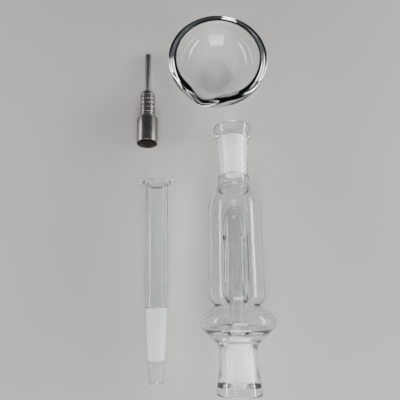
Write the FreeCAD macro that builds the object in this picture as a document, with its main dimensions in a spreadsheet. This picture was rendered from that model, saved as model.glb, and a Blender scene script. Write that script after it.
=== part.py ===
"""Inline glass extractor set: extractor body, neck tube, metal tip and dish, laid out on a bench.

Each piece is drawn upright in its own frame, from its lower end at height 0, and is then laid down on
the bench, which is the plane Z = 0. Lengths are in millimetres.
"""
import FreeCAD
import Part

import math
import os
import re

import Sketcher

# Driving dimensions: name, value, meaning.
SIZES = [
    ("joint_bore", 14.5, "ground joint, diameter at a socket's mouth"),
    ("joint_taper", 10, "ground joint, length over which the diameter changes by one"),
    # extractor body
    ("collar_wall", 1.9, "both collars, wall of the cup"),
    ("mouth_funnel", 2.2, "both collars, height of the slope down to the socket's mouth"),
    ("lower_rim_od", 28.1, "lower collar, diameter at its open rim"),
    ("lower_collar_od", 26.7, "lower collar, diameter at the socket's mouth"),
    ("lower_collar_height", 13.5, "lower collar, height"),
    ("lower_cup_depth", 6.9, "lower collar, depth down to the socket's mouth"),
    ("lower_socket_od", 24.1, "lower socket, outside diameter"),
    ("lower_socket_height", 14.7, "lower socket, from the collar to the bulb"),
    ("lower_ground_length", 24.9, "lower socket, length of the ground bore"),
    ("nose_height", 6.5, "lower socket, height of the nose inside the bulb"),
    ("nose_wall", 0.9, "lower socket, how far its nose stands out round the riser"),
    ("bulb_od", 49.4, "bulb, diameter at its ridge"),
    ("bulb_wall", 2.0, "bulb, wall"),
    ("bulb_knee_od", 45.4, "bulb, diameter where the ridge's round meets the slopes"),
    ("bulb_lower_height", 14.1, "bulb, from the socket to the ridge"),
    ("bulb_upper_height", 10.0, "bulb, from the ridge to the waist"),
    ("bulb_knee_height", 4.3, "bulb, height of the ridge's round above and below the ridge"),
    ("waist_od", 28.9, "waist between the bulb and the chamber"),
    ("waist_height", 7.5, "waist, height over which it widens to the chamber"),
    ("floor_height", 4.2, "bulb floor, height of its edge above the bulb's inner foot"),
    ("floor_thickness", 1.6, "bulb floor, thickness"),
    ("floor_rise", 4.0, "bulb floor, how far its middle stands above its edge"),
    ("chamber_od", 36.5, "chamber tube, outside diameter"),
    ("chamber_wall", 2.2, "chamber tube, wall"),
    ("chamber_length", 56.4, "chamber tube, straight length"),
    ("dome_height", 14.0, "shoulder, height of its dome"),
    ("cove_width", 0.5, "shoulder, width of the cove between dome and neck"),
    ("cove_height", 3.0, "shoulder, height of the cove between dome and neck"),
    ("neck_od", 23.8, "shoulder, diameter of the neck above the cove"),
    ("neck_wall", 1.8, "shoulder, wall of the neck"),
    ("neck_height", 8.3, "shoulder, height of the neck"),
    ("weld_ring_width", 1.5, "weld ring, how far it stands in from the neck's wall"),
    ("weld_ring_bevel", 0.6, "weld ring, bevel of its inner edges"),
    ("upper_socket_od", 21.7, "upper socket, outside diameter"),
    ("upper_socket_height", 24.3, "upper socket, height, which its ground bore runs through"),
    ("upper_flare_height", 5.5, "upper collar, height of its flare"),
    ("upper_collar_od", 25.1, "upper collar, diameter above its flare"),
    ("upper_rim_od", 28.5, "upper collar, diameter at its open rim"),
    ("upper_cup_height", 8.2, "upper collar, height above its flare"),
    ("upper_cup_depth", 7.2, "upper collar, depth down to the socket's mouth"),
    ("riser_od", 9.8, "riser tube, outside diameter"),
    ("riser_wall", 1.3, "riser tube, wall"),
    ("riser_length", 31.8, "riser tube, length above the lower socket's nose"),
    ("bell_od", 20.0, "percolator bell, outside diameter"),
    ("bell_wall", 1.5, "percolator bell, wall"),
    ("bell_height", 55.5, "percolator bell, height with its dome"),
    ("bell_drop", 3.3, "percolator bell, how far its lower edge is below the riser's top"),
    ("bell_base_height", 9.0, "percolator base, height over which it closes on the riser"),
    ("slit_width", 1.0, "percolator slits, width"),
    ("slit_length", 30.0, "percolator slits, length"),
    ("slit_lift", 4.0, "percolator slits, height above the bell's lower edge"),
    ("slit_pairs", 5, "percolator slits, number of opposite pairs"),
    # neck tube
    ("drip_end_od", 10.4, "drip tip, diameter at its end"),
    ("drip_height", 13.8, "drip tip, height"),
    ("drip_wall", 1.3, "drip tip, wall"),
    ("cone_od", 14.8, "ground cone, diameter at its wide end"),
    ("cone_height", 34.4, "ground cone, height"),
    ("tube_od", 15.7, "neck tube, outside diameter"),
    ("tube_wall", 1.5, "neck tube, wall"),
    ("tube_shoulder", 0.8, "neck tube, height of the step above the ground cone"),
    ("tube_height", 86.3, "neck tube, height above the ground cone"),
    ("lip_od", 20.2, "rolled lip, outside diameter"),
    ("lip_roll", 2.0, "rolled lip, height of its underside"),
    ("lip_crown", 1.2, "rolled lip, height of its rounded edge"),
    ("stop_radius", 2.1, "roll stops, radius of the bead"),
    ("stop_sink", 0.3, "roll stops, how far the bead sinks onto the lip"),
    # metal tip
    ("base_end_od", 15.9, "tip base, diameter at its open end"),
    ("base_od", 16.2, "tip base, diameter at its shoulder"),
    ("base_height", 20.5, "tip base, height of its taper"),
    ("base_bore_depth", 17.5, "tip base, depth of the socket in it"),
    ("base_shoulder", 2.6, "tip base, height of its shoulder"),
    ("coupling_od", 11.2, "tip coupling, diameter"),
    ("coupling_height", 19.6, "tip coupling, straight height"),
    ("coupling_shoulder", 4.4, "tip coupling, height of its shoulder"),
    ("groove_count", 5, "tip coupling, number of grooves"),
    ("groove_pitch", 3.7, "tip coupling, spacing of the grooves"),
    ("groove_width", 1.1, "tip coupling, width of a groove"),
    ("groove_depth", 0.45, "tip coupling, depth of a groove"),
    ("groove_lift", 1.4, "tip coupling, height of the first groove"),
    ("stem_od", 4.7, "tip stem, diameter"),
    ("channel_bore", 2.0, "tip stem and coupling, diameter of the channel"),
    ("stem_height", 33.6, "tip stem, height"),
    # dish
    ("dish_od", 74.5, "dish, diameter at the rim"),
    ("dish_height", 27.0, "dish, height"),
    ("dish_foot_od", 26.0, "dish, diameter of its flat foot"),
    ("dish_bottom", 3.6, "dish, thickness of its bottom"),
    ("rim_width", 6.3, "dish, width of the rim's top"),
    ("rim_height", 6.0, "dish, height of the thick rim"),
    ("spout_reach", 4.8, "dish, how far the pouring lip stands out"),
    ("spout_spread", 15.0, "dish, half width of the pouring lip in degrees"),
    ("spout_pinch", 1.3, "dish, how far the rim is pinched in beside the lip"),
    ("spout_height", 15.0, "dish, height over which the lip grows out of the wall"),
    ("spout_heading", -108.0, "dish, direction of the pouring lip in degrees from +X"),
    # places on the bench
    ("extractor_east", 22.94, "extractor body, X of its lower rim"),
    ("extractor_north", -133.95, "extractor body, Y of its lower rim"),
    ("tube_east", -29.76, "neck tube, X of its drip tip's end"),
    ("tube_north", -131.6, "neck tube, Y of its drip tip's end"),
    ("tube_turn", 1.2, "neck tube, turn on the bench in degrees"),
    ("metal_east", -40.86, "metal tip, X of its open end"),
    ("metal_gap", 29.2, "metal tip, space between the neck tube's lip and its open end"),
    ("metal_turn", 1.9, "metal tip, turn on the bench in degrees"),
    ("dish_east", 12.34, "dish, X of its centre"),
    ("dish_gap", 14.9, "dish, space between the body's upper rim and the dish"),
]
ALIASES = {name for name, _, _ in SIZES}

# How an arc of an outline stands: upright where it leaves the last corner, or where it meets this one.
LEAVES_UPRIGHT = "leaves upright"
MEETS_UPRIGHT = "meets upright"

doc = FreeCAD.newDocument("ExtractorSet")
sheet = doc.addObject("Spreadsheet::Sheet", "Size")
for row, (name, number, meaning) in enumerate(SIZES, start=1):
    sheet.set(f"A{row}", meaning)
    sheet.set(f"B{row}", str(number))
    sheet.setAlias(f"B{row}", name)
doc.recompute()


def bound(formula):
    """The formula with each sheet value it names written as the document names it."""
    return re.sub(r"[a-z][a-z0-9_]*", lambda word: f"Size.{word[0]}" if word[0] in ALIASES else word[0], formula)


def amount(formula):
    """The number that a formula of sheet values comes to."""
    return float(sheet.evalExpression(bound(formula)))


def arc_between(start, end, leaves_upright):
    """The arc from start to end that is upright at one of them, and whether it turns to the left."""
    upright, other = (start, end) if leaves_upright else (end, start)
    across = other.x - upright.x
    radius = (across ** 2 + (other.y - upright.y) ** 2) / (2 * abs(across))
    centre = upright + FreeCAD.Vector(math.copysign(radius, across), 0, 0)
    middle = centre + ((start + end) * 0.5 - centre).normalize() * radius
    turns_left = (middle - start).cross(end - middle).z > 0
    first, last = (start, end) if turns_left else (end, start)
    return Part.Arc(first, middle, last), turns_left


def add_outline(sketch, outline):
    """Draw a closed outline of (radius, height[, arc]) corners and bind every corner to the sheet."""
    corners = [FreeCAD.Vector(amount(corner[0]), amount(corner[1]), 0) for corner in outline]
    edges = []
    for index, corner in enumerate(outline):
        start, end = corners[index - 1], corners[index]
        if len(corner) == 2:
            edges.append((sketch.addGeometry(Part.LineSegment(start, end), False), 1, 2))
            continue
        arc, turns_left = arc_between(start, end, corner[2] == LEAVES_UPRIGHT)
        edge = sketch.addGeometry(arc, False)
        edges.append((edge, 1, 2) if turns_left else (edge, 2, 1))
        run = f"(({outline[index - 1][0]}) - ({corner[0]}))"
        rise = f"(({outline[index - 1][1]}) - ({corner[1]}))"
        size = sketch.addConstraint(Sketcher.Constraint("Radius", edge, sketch.Geometry[edge].Radius))
        sketch.setExpression(f"Constraints[{size}]", bound(f"({run} ^ 2 + {rise} ^ 2) / (2 * abs({run}))"))
    for index, (edge, _, tail) in enumerate(edges):
        following, head, _ = edges[(index + 1) % len(edges)]
        sketch.addConstraint(Sketcher.Constraint("Coincident", edge, tail, following, head))
        for kind, formula, axis, place in (
            ("DistanceX", outline[index][0], -2, corners[index].x),
            ("DistanceY", outline[index][1], -1, corners[index].y),
        ):
            if formula == "0":
                sketch.addConstraint(Sketcher.Constraint("PointOnObject", edge, tail, axis))
                continue
            size = sketch.addConstraint(Sketcher.Constraint(kind, -1, 1, edge, tail, place))
            sketch.setExpression(f"Constraints[{size}]", bound(formula))


def new_sketch(body, name):
    """An empty sketch on the body's own upright plane."""
    sketch = body.newObject("Sketcher::SketchObject", name)
    plane = next(item for item in body.Origin.OriginFeatures if item.Role == "XZ_Plane")
    sketch.AttachmentSupport = [(plane, "")]
    sketch.MapMode = "FlatFace"
    return sketch


def turned(label, outline):
    """A body of revolution about its own upright axis."""
    body = doc.addObject("PartDesign::Body", label)
    body.Label = label
    sketch = new_sketch(body, f"{label}_outline")
    add_outline(sketch, outline)
    turn = body.newObject("PartDesign::Revolution", f"{label}_turn")
    turn.Profile = sketch
    turn.ReferenceAxis = (sketch, ["V_Axis"])
    turn.Angle = 360
    doc.recompute()
    return body


def repeat(body, pattern_type, feature, name, **settings):
    """Repeat the body's last feature as a pattern and make that pattern the body's tip."""
    pattern = body.newObject(pattern_type, name)
    pattern.Originals = [feature]
    for setting, choice in settings.items():
        setattr(pattern, setting, choice)
    body.Tip = pattern
    return pattern


def half(diameter):
    """The formula of the radius that goes with a diameter."""
    return f"({diameter}) / 2"


def bore_radius(distance):
    """The formula of a ground socket's radius at a distance in from its mouth."""
    return f"(joint_bore - ({distance}) / joint_taper) / 2"


def cut_check(label, before, after):
    """Stop if a cut took nothing away."""
    if after > before - 0.01:
        raise RuntimeError(f"{label}: the cut removed nothing")


# ------------------------------------------------------------------ extractor body
# Heights above the lower rim, from the bottom up.
LOWER_MOUTH = "lower_cup_depth"
SOCKET_FOOT = "lower_collar_height"
BULB_FOOT = f"({SOCKET_FOOT} + lower_socket_height)"
BULB_INNER_FOOT = f"({BULB_FOOT} + 1.4 * bulb_wall)"
GROUND_END = f"({LOWER_MOUTH} + lower_ground_length)"
NOSE_TOP = f"({BULB_FOOT} + nose_height)"
RIDGE = f"({BULB_FOOT} + bulb_lower_height)"
WAIST = f"({RIDGE} + bulb_upper_height)"
CHAMBER_FOOT = f"({WAIST} + waist_height)"
CHAMBER_TOP = f"({CHAMBER_FOOT} + chamber_length)"
DOME_TOP = f"({CHAMBER_TOP} + dome_height)"
NECK_FOOT = f"({DOME_TOP} + cove_height)"
NECK_TOP = f"({NECK_FOOT} + neck_height)"
FLARE_FOOT = f"({NECK_TOP} + upper_socket_height)"
FLARE_TOP = f"({FLARE_FOOT} + upper_flare_height)"
UPPER_RIM = f"({FLARE_TOP} + upper_cup_height)"
UPPER_MOUTH = f"({UPPER_RIM} - upper_cup_depth)"
RISER_TOP = f"({NOSE_TOP} + riser_length)"
BELL_EDGE = f"({RISER_TOP} - bell_drop)"
BELL_BASE = f"({BELL_EDGE} - bell_base_height)"
BELL_TOP = f"({BELL_EDGE} + bell_height)"
# The inner slope of the bulb's lower half, which its floor stands on.
INNER_KNEE_RADIUS = "(bulb_knee_od / 2 - 0.7 * bulb_wall)"
INNER_KNEE = f"({RIDGE} - bulb_knee_height + 0.7 * bulb_wall)"


def slope_radius(height):
    """The formula of the bulb's inner radius at a height on its lower slope."""
    run = f"({INNER_KNEE_RADIUS} - lower_socket_od / 2)"
    return f"(lower_socket_od / 2 + (({height}) - {BULB_INNER_FOOT}) * {run} / ({INNER_KNEE} - {BULB_INNER_FOOT}))"


def lower_joint():
    """The lower collar and the ground socket that it guides a cone into."""
    collar = turned("lower_collar", [
        (half("lower_rim_od"), "0"),
        (half("lower_collar_od"), LOWER_MOUTH),
        (half("lower_socket_od"), SOCKET_FOOT),
        (bore_radius(f"{SOCKET_FOOT} - {LOWER_MOUTH}"), SOCKET_FOOT),
        (half("joint_bore"), LOWER_MOUTH),
        (half("lower_collar_od - 2 * collar_wall"), f"{LOWER_MOUTH} - mouth_funnel"),
        (half("lower_rim_od - 2 * collar_wall"), "0"),
    ])
    socket = turned("lower_socket", [
        (half("lower_socket_od"), SOCKET_FOOT),
        (half("lower_socket_od"), BULB_INNER_FOOT),
        (half("riser_od + 2 * nose_wall"), NOSE_TOP),
        (half("riser_od - 2 * riser_wall"), NOSE_TOP),
        (bore_radius("lower_ground_length"), GROUND_END),
        (bore_radius(f"{SOCKET_FOOT} - {LOWER_MOUTH}"), SOCKET_FOOT),
    ])
    return [collar, socket]


def bulb():
    """The bulb's two halves, which meet at its ridge, and the domed floor inside it."""
    lower = turned("bulb_lower", [
        (half("lower_socket_od"), BULB_FOOT),
        (half("bulb_knee_od"), f"{RIDGE} - bulb_knee_height"),
        (half("bulb_od"), RIDGE, MEETS_UPRIGHT),
        (half("bulb_od - 2 * bulb_wall"), RIDGE),
        (INNER_KNEE_RADIUS, INNER_KNEE, LEAVES_UPRIGHT),
        (half("lower_socket_od"), BULB_INNER_FOOT),
    ])
    upper = turned("bulb_upper", [
        (half("bulb_od"), RIDGE),
        (half("bulb_knee_od"), f"{RIDGE} + bulb_knee_height", LEAVES_UPRIGHT),
        (half("waist_od"), WAIST),
        (half("chamber_od"), CHAMBER_FOOT, MEETS_UPRIGHT),
        (half("chamber_od - 2 * chamber_wall"), CHAMBER_FOOT),
        (half("waist_od - 2 * bulb_wall"), WAIST, LEAVES_UPRIGHT),
        (INNER_KNEE_RADIUS, f"{RIDGE} + bulb_knee_height - 0.7 * bulb_wall"),
        (half("bulb_od - 2 * bulb_wall"), RIDGE, MEETS_UPRIGHT),
    ])
    edge = f"({BULB_INNER_FOOT} + floor_height)"
    floor = turned("bulb_floor", [
        (slope_radius(edge), edge),
        (slope_radius(f"{edge} + floor_thickness"), f"{edge} + floor_thickness"),
        (half("riser_od"), f"{edge} + floor_thickness + floor_rise"),
        (half("riser_od"), f"{edge} + floor_rise"),
    ])
    return [lower, upper, floor]


def chamber():
    """The chamber tube, its domed shoulder with the neck, and the weld ring inside the cove."""
    wall = turned("chamber_wall", [
        (half("chamber_od"), CHAMBER_FOOT),
        (half("chamber_od"), CHAMBER_TOP),
        (half("chamber_od - 2 * chamber_wall"), CHAMBER_TOP),
        (half("chamber_od - 2 * chamber_wall"), CHAMBER_FOOT),
    ])
    inner_neck = half("neck_od - 2 * neck_wall")
    shoulder = turned("chamber_shoulder", [
        (half("chamber_od"), CHAMBER_TOP),
        (half("neck_od + 2 * cove_width"), DOME_TOP, LEAVES_UPRIGHT),
        (half("neck_od"), NECK_FOOT, MEETS_UPRIGHT),
        (half("upper_socket_od"), NECK_TOP),
        (half("upper_socket_od - 2 * neck_wall"), NECK_TOP),
        (inner_neck, NECK_FOOT),
        (f"{inner_neck} + cove_width", DOME_TOP, LEAVES_UPRIGHT),
        (half("chamber_od - 2 * chamber_wall"), CHAMBER_TOP, MEETS_UPRIGHT),
    ])
    ring = turned("weld_ring", [
        (f"{inner_neck} + cove_width", DOME_TOP),
        (inner_neck, NECK_FOOT, MEETS_UPRIGHT),
        (f"{inner_neck} - weld_ring_width", f"{NECK_FOOT} - weld_ring_bevel"),
        (f"{inner_neck} - weld_ring_width", f"{DOME_TOP} + weld_ring_bevel"),
    ])
    return [wall, shoulder, ring]


def upper_joint():
    """The upper ground socket and the collar that guides a cone into it."""
    socket = turned("upper_socket", [
        (half("upper_socket_od"), NECK_TOP),
        (half("upper_socket_od"), FLARE_FOOT),
        (bore_radius(f"{UPPER_MOUTH} - {FLARE_FOOT}"), FLARE_FOOT),
        (bore_radius(f"{UPPER_MOUTH} - {NECK_TOP}"), NECK_TOP),
    ])
    collar = turned("upper_collar", [
        (half("upper_socket_od"), FLARE_FOOT),
        (half("upper_collar_od"), FLARE_TOP),
        (half("upper_rim_od"), UPPER_RIM),
        (half("upper_rim_od - 2 * collar_wall"), UPPER_RIM),
        (half("upper_collar_od - 2 * collar_wall"), f"{UPPER_MOUTH} + mouth_funnel"),
        (half("joint_bore"), UPPER_MOUTH),
        (bore_radius(f"{UPPER_MOUTH} - {FLARE_FOOT}"), FLARE_FOOT),
    ])
    return [socket, collar]


def percolator():
    """The riser tube, the slotted bell over it and the base that closes the bell on the riser."""
    riser = turned("riser_tube", [
        (half("riser_od"), NOSE_TOP),
        (half("riser_od"), RISER_TOP),
        (half("riser_od - 2 * riser_wall"), RISER_TOP),
        (half("riser_od - 2 * riser_wall"), NOSE_TOP),
    ])
    bell_bore = half("bell_od - 2 * bell_wall")
    dome_foot = f"{BELL_TOP} - bell_od / 2"
    bell = turned("percolator_bell", [
        (half("bell_od"), BELL_EDGE),
        (half("bell_od"), dome_foot),
        ("0", BELL_TOP, LEAVES_UPRIGHT),
        ("0", f"{BELL_TOP} - bell_wall"),
        (bell_bore, dome_foot, MEETS_UPRIGHT),
        (bell_bore, BELL_EDGE),
    ])
    solid_volume = bell.Shape.Volume
    outline = new_sketch(bell, "slit_outline")
    slit_foot = f"({BELL_EDGE} + slit_lift)"
    slit_top = f"({slit_foot} + slit_length)"
    add_outline(outline, [
        ("0 - slit_width / 2", slit_foot),
        ("slit_width / 2", slit_foot),
        ("slit_width / 2", slit_top),
        ("0 - slit_width / 2", slit_top),
    ])
    slit = bell.newObject("PartDesign::Pocket", "slit")
    slit.Profile = outline
    slit.SideType = "Symmetric"
    slit.setExpression("Length", bound("bell_od + 2 * bell_wall"))
    doc.recompute()
    around = next(item for item in bell.Origin.OriginFeatures if item.Role == "Z_Axis")
    slits = repeat(bell, "PartDesign::PolarPattern", slit, "slits", Axis=(around, [""]), Angle=180)
    slits.setExpression("Occurrences", bound("slit_pairs"))
    slits.setExpression("Angle", bound("180 * (slit_pairs - 1) / slit_pairs"))
    doc.recompute()
    cut_check("percolator_bell", solid_volume, bell.Shape.Volume)
    base = turned("percolator_base", [
        (half("riser_od"), BELL_BASE),
        (half("bell_od"), BELL_EDGE, MEETS_UPRIGHT),
        (bell_bore, BELL_EDGE),
        (half("riser_od"), f"{BELL_BASE} + 1.7 * bell_wall", LEAVES_UPRIGHT),
    ])
    return [riser, bell, base]


# ----------------------------------------------------------------------- neck tube
# Heights above the drip tip's end.
CONE_FOOT = "drip_height"
CONE_TOP = f"({CONE_FOOT} + cone_height)"
STEP_TOP = f"({CONE_TOP} + tube_shoulder)"
LIP_FOOT = f"({CONE_TOP} + tube_height)"
LIP_EDGE = f"({LIP_FOOT} + lip_roll)"
LIP_TOP = f"({LIP_EDGE} + lip_crown)"


def neck_tube():
    """The drip tip, the ground cone, the plain tube and the rolled lip."""
    cone_end = half("cone_od - cone_height / joint_taper")
    cone_end_bore = f"{cone_end} - drip_wall"
    tube_bore = half("tube_od - 2 * tube_wall")
    drip = turned("drip_tip", [
        (half("drip_end_od"), "0"),
        (cone_end, CONE_FOOT),
        (cone_end_bore, CONE_FOOT),
        (half("drip_end_od - 2 * drip_wall"), "0"),
    ])
    cone = turned("ground_cone", [
        (cone_end, CONE_FOOT),
        (half("cone_od"), CONE_TOP),
        (tube_bore, CONE_TOP),
        (cone_end_bore, CONE_FOOT),
    ])
    tube = turned("neck_tube", [
        (half("cone_od"), CONE_TOP),
        (half("tube_od"), STEP_TOP),
        (half("tube_od"), LIP_FOOT),
        (tube_bore, LIP_FOOT),
        (tube_bore, CONE_TOP),
    ])
    lip = turned("tube_lip", [
        (half("tube_od"), LIP_FOOT),
        (half("lip_od"), LIP_EDGE, MEETS_UPRIGHT),
        (f"{half('lip_od')} - 0.8 * lip_crown", LIP_TOP, LEAVES_UPRIGHT),
        (f"{tube_bore} + 0.7 * lip_crown", LIP_TOP),
        (tube_bore, LIP_EDGE, MEETS_UPRIGHT),
        (tube_bore, LIP_FOOT),
    ])
    return [drip, cone, tube, lip]


def roll_stop(label, side):
    """A glass bead on one side of the lip, hollowed where it sits on the lip's edge."""
    bead = doc.addObject("Part::Sphere", f"{label}_bead")
    bead.setExpression("Radius", bound("stop_radius"))
    bead.setExpression("Placement.Base.x", bound(f"{side} * (lip_od / 2 + stop_radius - stop_sink)"))
    bead.setExpression("Placement.Base.z", bound(LIP_EDGE))
    seat = doc.addObject("Part::Cylinder", f"{label}_seat")
    seat.setExpression("Radius", bound(half("lip_od")))
    seat.setExpression("Height", bound(LIP_TOP))
    stop = doc.addObject("Part::Cut", label)
    stop.Base = bead
    stop.Tool = seat
    stop.Label = label
    doc.recompute()
    cut_check(label, bead.Shape.Volume, stop.Shape.Volume)
    return stop


# ----------------------------------------------------------------------- metal tip
# Heights above the open end of the base.
BASE_TOP = "base_height"
COUPLING_FOOT = f"({BASE_TOP} + base_shoulder)"
COUPLING_TOP = f"({COUPLING_FOOT} + coupling_height)"
STEM_FOOT = f"({COUPLING_TOP} + coupling_shoulder)"
STEM_TOP = f"({STEM_FOOT} + stem_height)"


def metal_tip():
    """The hollow base, the grooved coupling and the thin stem, with one channel through all three."""
    channel = half("channel_bore")
    base = turned("tip_base", [
        (half("base_end_od"), "0"),
        (half("base_od"), BASE_TOP),
        (half("coupling_od"), COUPLING_FOOT),
        (channel, COUPLING_FOOT),
        (channel, "base_bore_depth"),
        (bore_radius("base_bore_depth"), "base_bore_depth"),
        (half("joint_bore"), "0"),
    ])
    coupling = turned("tip_coupling", [
        (half("coupling_od"), COUPLING_FOOT),
        (half("coupling_od"), COUPLING_TOP),
        (half("stem_od"), STEM_FOOT),
        (channel, STEM_FOOT),
        (channel, COUPLING_FOOT),
    ])
    smooth_volume = coupling.Shape.Volume
    outline = new_sketch(coupling, "groove_outline")
    groove_foot = f"({COUPLING_FOOT} + groove_lift)"
    add_outline(outline, [
        (half("coupling_od - 2 * groove_depth"), groove_foot),
        (f"{half('coupling_od')} + groove_depth", groove_foot),
        (f"{half('coupling_od')} + groove_depth", f"{groove_foot} + groove_width"),
        (half("coupling_od - 2 * groove_depth"), f"{groove_foot} + groove_width"),
    ])
    groove = coupling.newObject("PartDesign::Groove", "groove")
    groove.Profile = outline
    groove.ReferenceAxis = (outline, ["V_Axis"])
    groove.Angle = 360
    doc.recompute()
    along = next(item for item in coupling.Origin.OriginFeatures if item.Role == "Z_Axis")
    grooves = repeat(coupling, "PartDesign::LinearPattern", groove, "grooves", Direction=(along, [""]))
    grooves.setExpression("Occurrences", bound("groove_count"))
    grooves.setExpression("Length", bound("groove_pitch * (groove_count - 1)"))
    doc.recompute()
    cut_check("tip_coupling", smooth_volume, coupling.Shape.Volume)
    stem = turned("tip_stem", [
        (half("stem_od"), STEM_FOOT),
        (half("stem_od"), STEM_TOP),
        (channel, STEM_TOP),
        (channel, STEM_FOOT),
    ])
    return [base, coupling, stem]


# ---------------------------------------------------------------------------- dish
SECTION_COUNT = 8
SECTION_POINTS = 48


def spout_offset(angle, height):
    """How far the dish's wall stands out at an angle and a height: the lip, and the pinch beside it."""
    foot = amount("dish_height - spout_height")
    growth = max(0.0, (height - foot) / amount("spout_height")) ** 1.5
    spread = math.radians(amount("spout_spread"))
    away = abs(math.remainder(angle - math.radians(amount("spout_heading")), 2 * math.pi))
    lip = amount("spout_reach") * math.exp(-((away / spread) ** 2))
    pinch = amount("spout_pinch") * math.exp(-(((away - 2.2 * spread) / spread) ** 2))
    return growth * (lip - pinch)


def dish_section(radius, height):
    """The closed outline of the dish's wall at one height."""
    points = []
    for step in range(SECTION_POINTS):
        angle = 2 * math.pi * step / SECTION_POINTS
        reach = radius + spout_offset(angle, height)
        points.append(FreeCAD.Vector(reach * math.cos(angle), reach * math.sin(angle), height))
    curve = Part.BSplineCurve()
    curve.interpolate(points, PeriodicFlag=True)
    return Part.Wire(curve.toShape())


def bowl_solid(foot_radius, foot_height, rim_radius, round_height):
    """A solid bowl whose wall is a quarter of an ellipse up to a height and upright above it."""
    reach = round_height - foot_height
    depth = reach / math.sqrt(1 - (foot_radius / rim_radius) ** 2)
    top = amount("dish_height")
    sections = []
    for step in range(SECTION_COUNT):
        height = foot_height + (top - foot_height) * (step / (SECTION_COUNT - 1)) ** 1.4
        below = max(0.0, round_height - height)
        sections.append(dish_section(rim_radius * math.sqrt(1 - (below / depth) ** 2), height))
    return Part.makeLoft(sections, True, False)


def dish():
    """The dish's bowl and its thick rim with the pouring lip, split at the rim's lower edge."""
    top = amount("dish_height")
    rim_radius = amount(half("dish_od"))
    split = amount("dish_height - rim_height")
    outside = bowl_solid(amount(half("dish_foot_od")), 0.0, rim_radius, amount("dish_height - rim_height / 2"))
    inside = bowl_solid(amount(half("dish_foot_od")) / 2, amount("dish_bottom"),
                        amount(half("dish_od - 2 * rim_width")), top)
    wall = outside.cut(inside)
    reach = 2 * rim_radius
    pieces = []
    for label, foot, height in (("dish_bowl", 0.0, split), ("dish_rim", split, top - split)):
        slab = Part.makeBox(2 * reach, 2 * reach, height, FreeCAD.Vector(-reach, -reach, foot))
        piece = doc.addObject("Part::Feature", label)
        piece.Label = label
        piece.Shape = wall.common(slab)
        pieces.append(piece)
    return pieces


# --------------------------------------------------------------- laying out and writing
def lie_down(pieces, near_contact, far_contact, east, north, turn):
    """Lay upright pieces along +Y so that they rest on the bench at two round contacts.

    Each contact is (radius, height) in the pieces' own upright frame.
    """
    (near_radius, near_height), (far_radius, far_height) = [
        (amount(radius), amount(height)) for radius, height in (near_contact, far_contact)
    ]
    climb = math.atan2(far_radius - near_radius, far_height - near_height)
    lift = near_radius * math.cos(climb) - near_height * math.sin(climb)
    laid = FreeCAD.Rotation(FreeCAD.Vector(1, 0, 0), math.degrees(climb) - 90)
    swung = FreeCAD.Rotation(FreeCAD.Vector(0, 0, 1), amount(turn))
    place = FreeCAD.Placement(FreeCAD.Vector(amount(east), amount(north), lift), swung.multiply(laid))
    for piece in pieces:
        piece.Placement = place


def stand_up(pieces, east, north):
    """Stand pieces on the bench at a place."""
    for piece in pieces:
        piece.Placement = FreeCAD.Placement(FreeCAD.Vector(amount(east), amount(north), 0), FreeCAD.Rotation())


def write(pieces):
    """Check every object and every piece's shape, then write each piece to its own file."""
    doc.recompute()
    for item in doc.Objects:
        if {"Invalid", "Error"} & set(item.State):
            raise RuntimeError(f"{item.Label}: {item.State}")
    for piece in pieces:
        if piece.Shape.isNull() or not piece.Shape.isValid() or not piece.Shape.Solids:
            raise RuntimeError(f"{piece.Label}: no valid solid")
    os.makedirs("parts", exist_ok=True)
    for piece in pieces:
        piece.Shape.exportStep(f"parts/{piece.Label}.step")
        print(f"{piece.Label}: {piece.Shape.Volume:.1f} mm3, {len(piece.Shape.Solids)} solid")


extractor_pieces = lower_joint() + bulb() + percolator() + chamber() + upper_joint()
lie_down(extractor_pieces, (half("bulb_od"), RIDGE), (half("upper_rim_od"), UPPER_RIM),
         "extractor_east", "extractor_north", "0")
tube_pieces = neck_tube() + [roll_stop("roll_stop_left", "-1"), roll_stop("roll_stop_right", "1")]
lie_down(tube_pieces, (half("tube_od"), STEP_TOP), (half("lip_od"), LIP_EDGE),
         "tube_east", "tube_north", "tube_turn")
metal_pieces = metal_tip()
lie_down(metal_pieces, (half("base_od"), BASE_TOP), (half("stem_od"), STEM_TOP),
         "metal_east", f"tube_north + {LIP_TOP} + metal_gap", "metal_turn")
dish_pieces = dish()
stand_up(dish_pieces, "dish_east", f"extractor_north + {UPPER_RIM} + dish_gap + {half('dish_od')}")
write(extractor_pieces + tube_pieces + metal_pieces + dish_pieces)
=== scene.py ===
"""Looks for an inline glass extractor set: body, neck tube, metal tip and dish, laid out on a bench.

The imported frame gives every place. Each glass piece is one closed skin, as blown and welded glass is.
Sizes are in millimetres in the piece's own upright frame, from its lower end at height 0.
JOINT_SLOPE is what the radius of a ground 1:10 taper gains with each millimetre of height, and EDGE_SHARE
is how far in from a glass wall's edge its shadow is darkened.
"""
import logging
import math
from dataclasses import dataclass, field
from enum import Enum
from typing import Iterable, Sequence

import bmesh
import bpy
from mathutils import Matrix, Vector


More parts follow.
